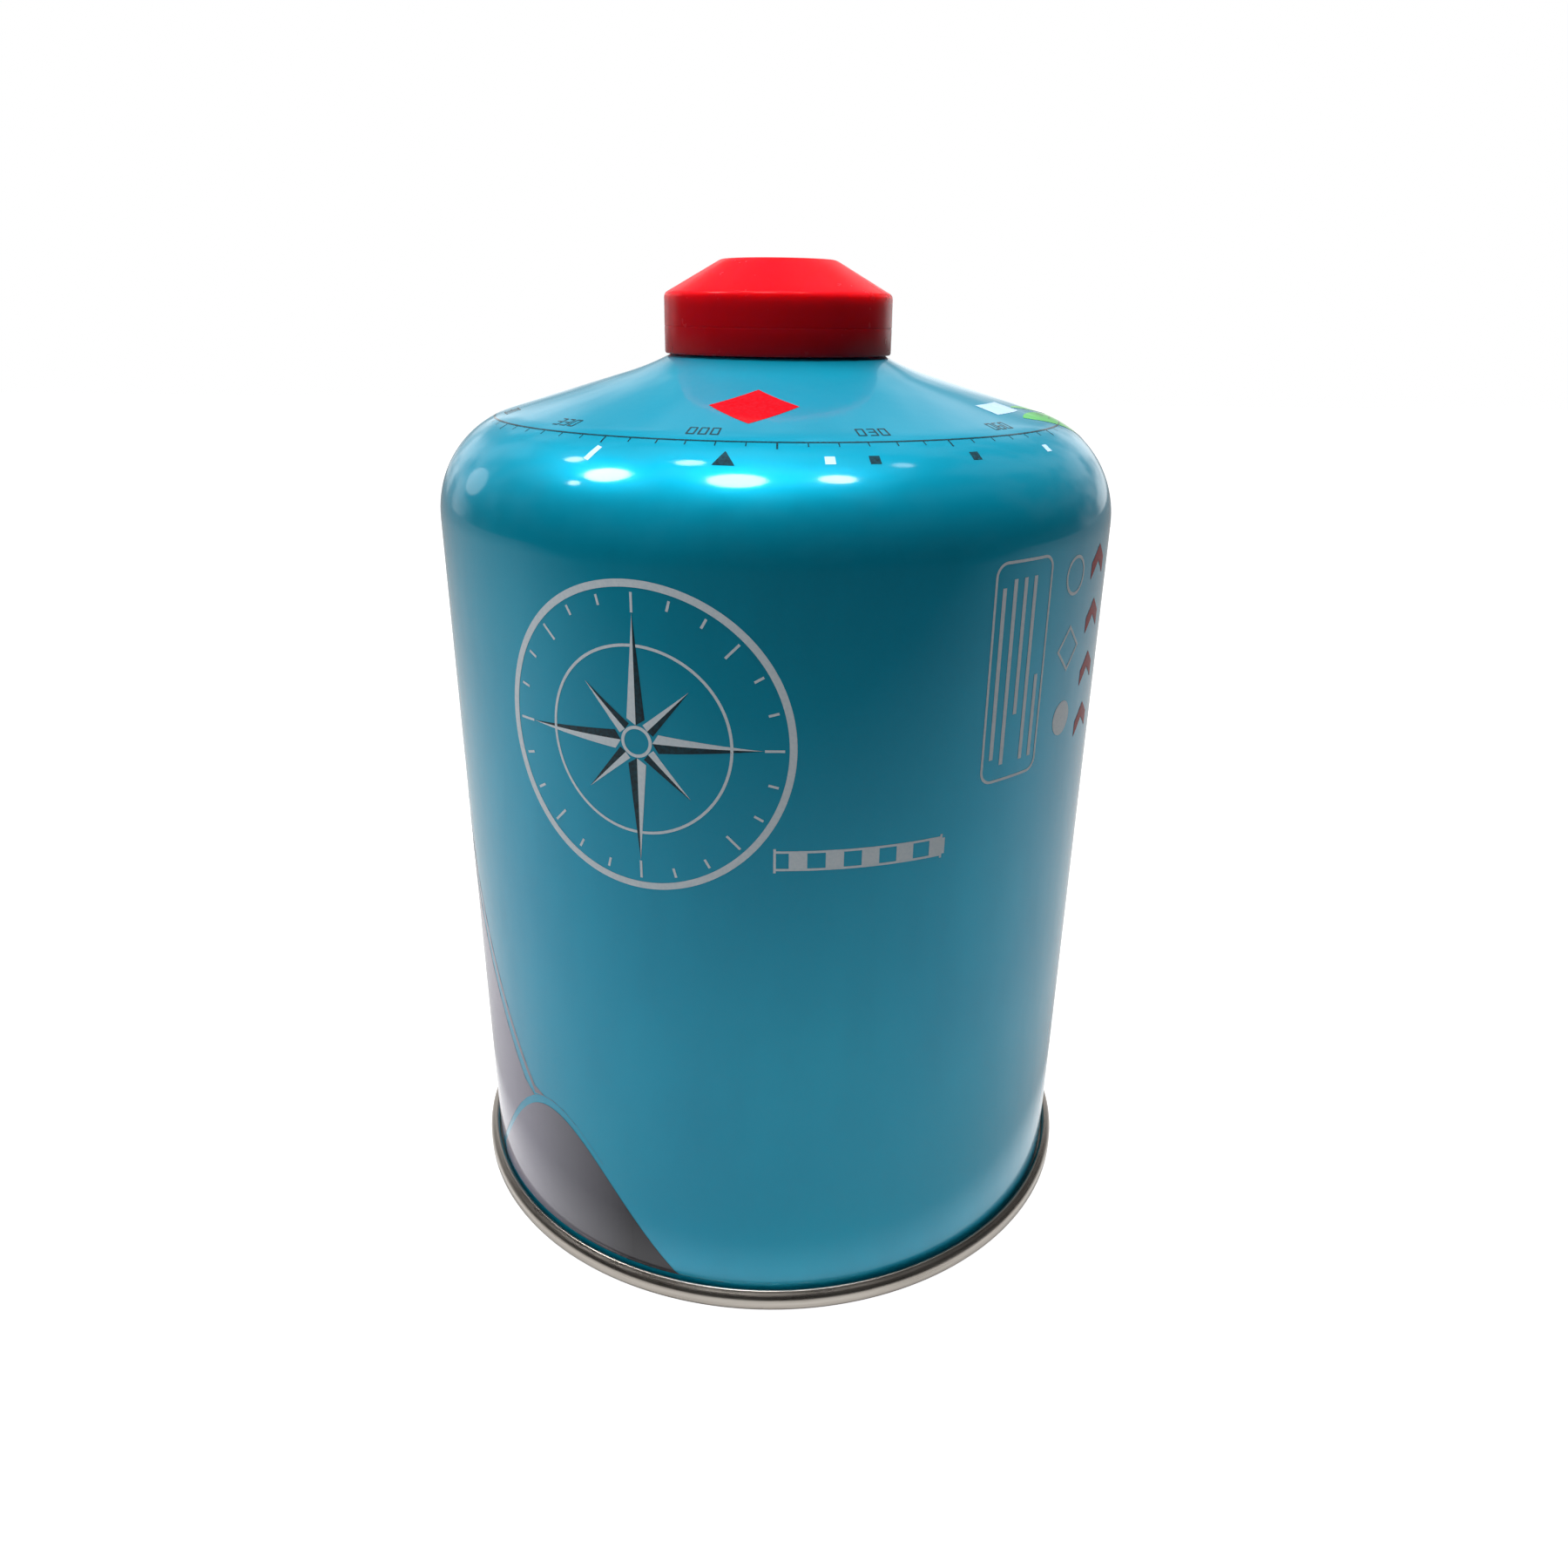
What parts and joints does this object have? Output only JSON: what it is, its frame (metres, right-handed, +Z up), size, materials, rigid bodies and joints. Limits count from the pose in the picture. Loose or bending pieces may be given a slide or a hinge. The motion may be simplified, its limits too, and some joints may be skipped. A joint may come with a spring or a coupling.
{
  "type": "screw-valve fuel canister",
  "caption": "Teal lacquered steel fuel canister with a domed shoulder, a rolled seam at its foot, a threaded valve and a red push-on cap.",
  "frame": {"origin": "centre of the seam ring's standing edge, on the floor", "axes": "+Z up along the canister's axis, -Y towards the side the picture shows"},
  "size_m": [0.11, 0.11, 0.1538],
  "materials": {
    "lacquered_steel": "glossy translucent teal lacquer over printed sheet steel",
    "tinplate": "bare bright tinplate",
    "gasket_rubber": "matte",
    "stem_brass": "turned",
    "spring_steel": "drawn wire",
    "housing_plastic": "moulded",
    "cap_plastic": "glossy saturated red, moulded"
  },
  "bodies": {
    "can": {"can_body": "lacquered_steel", "bottom_end": "tinplate", "valve_cup": "tinplate", "cup_gasket": "gasket_rubber", "stem_gasket": "gasket_rubber", "valve_housing": "housing_plastic", "stem_spring": "spring_steel"},
    "stem": {"valve_stem": "stem_brass"},
    "cap": {"cap": "cap_plastic"}
  },
  "joints": [
    {"name": "cap_pull", "type": "slide", "parent": "can", "child": "cap", "axis": [0, 0, 1], "range_m": [0, 0.025]},
    {"name": "stem_press", "type": "slide", "parent": "can", "child": "stem", "axis": [0, 0, -1], "range_m": [0, 0.002], "stiffness_N_per_m": 2500, "springref_m": -0.0016, "deforming": ["stem_spring"]}
  ]
}
